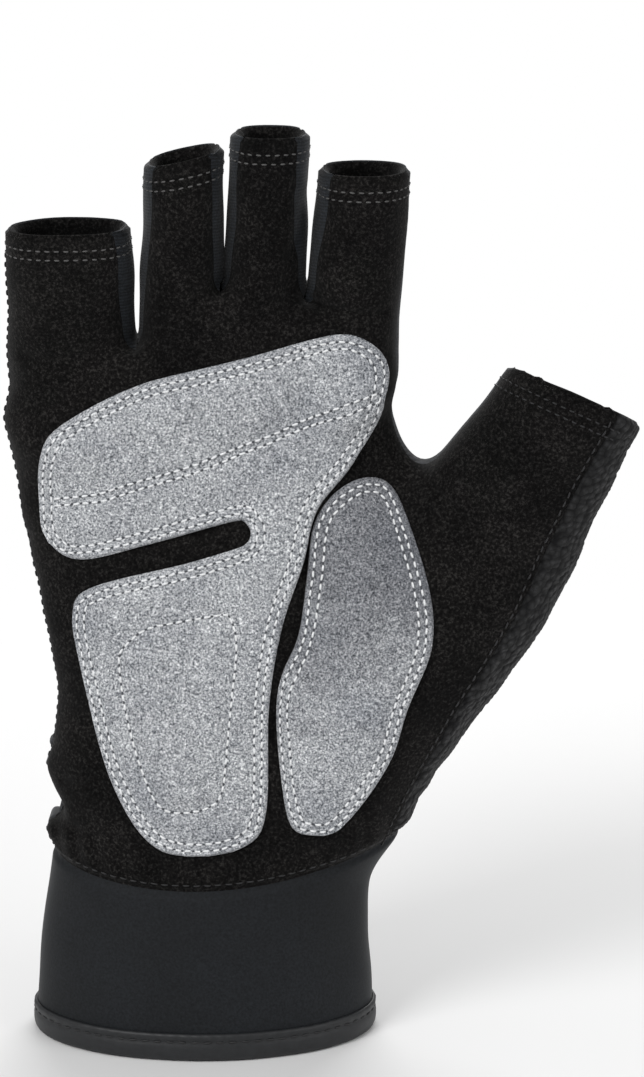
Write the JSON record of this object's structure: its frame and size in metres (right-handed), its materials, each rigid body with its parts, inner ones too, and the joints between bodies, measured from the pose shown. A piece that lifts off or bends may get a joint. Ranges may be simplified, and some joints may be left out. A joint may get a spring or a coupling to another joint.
{
  "type": "sailing glove",
  "caption": "Short-finger sailing glove for the right hand: suede palm with sewn grip patches, stretch back, open stalls that flex, and a neoprene cuff with a bound edge.",
  "frame": {"origin": "centre of the cuff's mouth, on the plane that the cuff's bound edge stands on", "axes": "+Z from the cuff to the fingertips, +X towards the thumb, +Y towards the back of the hand; the palm faces -Y"},
  "size_m": [0.1381, 0.0541, 0.2086],
  "materials": {
    "suede": "brushed black synthetic suede",
    "grip_suede": "mottled light-grey suede",
    "knit": "matte bluish-black stretch knit",
    "towelling": "looped black towelling",
    "neoprene": "matte jersey-faced neoprene",
    "binding": "smooth dark-grey binding tape",
    "elastic": "ribbed elastic",
    "badge": "plain satin light-grey strip",
    "foam": "soft closed-cell foam",
    "hem": "folded suede"
  },
  "bodies": {
    "hand": {"palm_panel": "suede", "back_panel": "knit", "thumb_side_panel": "towelling", "wrist_elastic": "elastic", "cuff": "neoprene", "cuff_binding": "binding", "palm_grip_patch": "grip_suede", "thumb_grip_patch": "grip_suede", "heel_pad": "foam", "back_badge": "badge", "thumb_fold": "towelling", "index_knuckle": "knit", "middle_knuckle": "knit", "ring_knuckle": "knit", "little_knuckle": "knit"},
    "index_stall": {"index_front": "suede", "index_back": "knit", "index_hem": "hem", "index_wall": "knit"},
    "middle_stall": {"middle_front": "suede", "middle_back": "knit", "middle_hem": "hem", "middle_wall_index_side": "knit", "middle_wall_ring_side": "knit"},
    "ring_stall": {"ring_front": "suede", "ring_back": "knit", "ring_hem": "hem", "ring_wall_middle_side": "knit", "ring_wall_little_side": "knit"},
    "little_stall": {"little_front": "suede", "little_back": "knit", "little_hem": "hem", "little_wall": "knit"},
    "thumb_stall": {"thumb_front": "suede", "thumb_back": "towelling", "thumb_hem": "hem"}
  },
  "joints": [
    {"name": "index_flex", "type": "hinge", "parent": "hand", "child": "index_stall", "pos_m": [0, -0.017, 0.167], "axis": [1, 0, 0], "range_deg": [-14, 50], "stiffness_Nm_per_rad": 0.05, "deforming": ["index_knuckle"]},
    {"name": "middle_flex", "type": "hinge", "parent": "hand", "child": "middle_stall", "pos_m": [0, -0.017, 0.169], "axis": [1, 0, 0], "range_deg": [-14, 50], "stiffness_Nm_per_rad": 0.05, "deforming": ["middle_knuckle"]},
    {"name": "ring_flex", "type": "hinge", "parent": "hand", "child": "ring_stall", "pos_m": [0, -0.017, 0.165], "axis": [1, 0, 0], "range_deg": [-14, 50], "stiffness_Nm_per_rad": 0.05, "deforming": ["ring_knuckle"]},
    {"name": "little_flex", "type": "hinge", "parent": "hand", "child": "little_stall", "pos_m": [0, -0.017, 0.157], "axis": [1, 0, 0], "range_deg": [-14, 50], "stiffness_Nm_per_rad": 0.05, "deforming": ["little_knuckle"]},
    {"name": "thumb_flex", "type": "hinge", "parent": "hand", "child": "thumb_stall", "pos_m": [0.046, -0.023, 0.134], "axis": [0.7193, 0, -0.6947], "range_deg": [-8, 40], "stiffness_Nm_per_rad": 0.06, "deforming": ["thumb_fold"]}
  ]
}
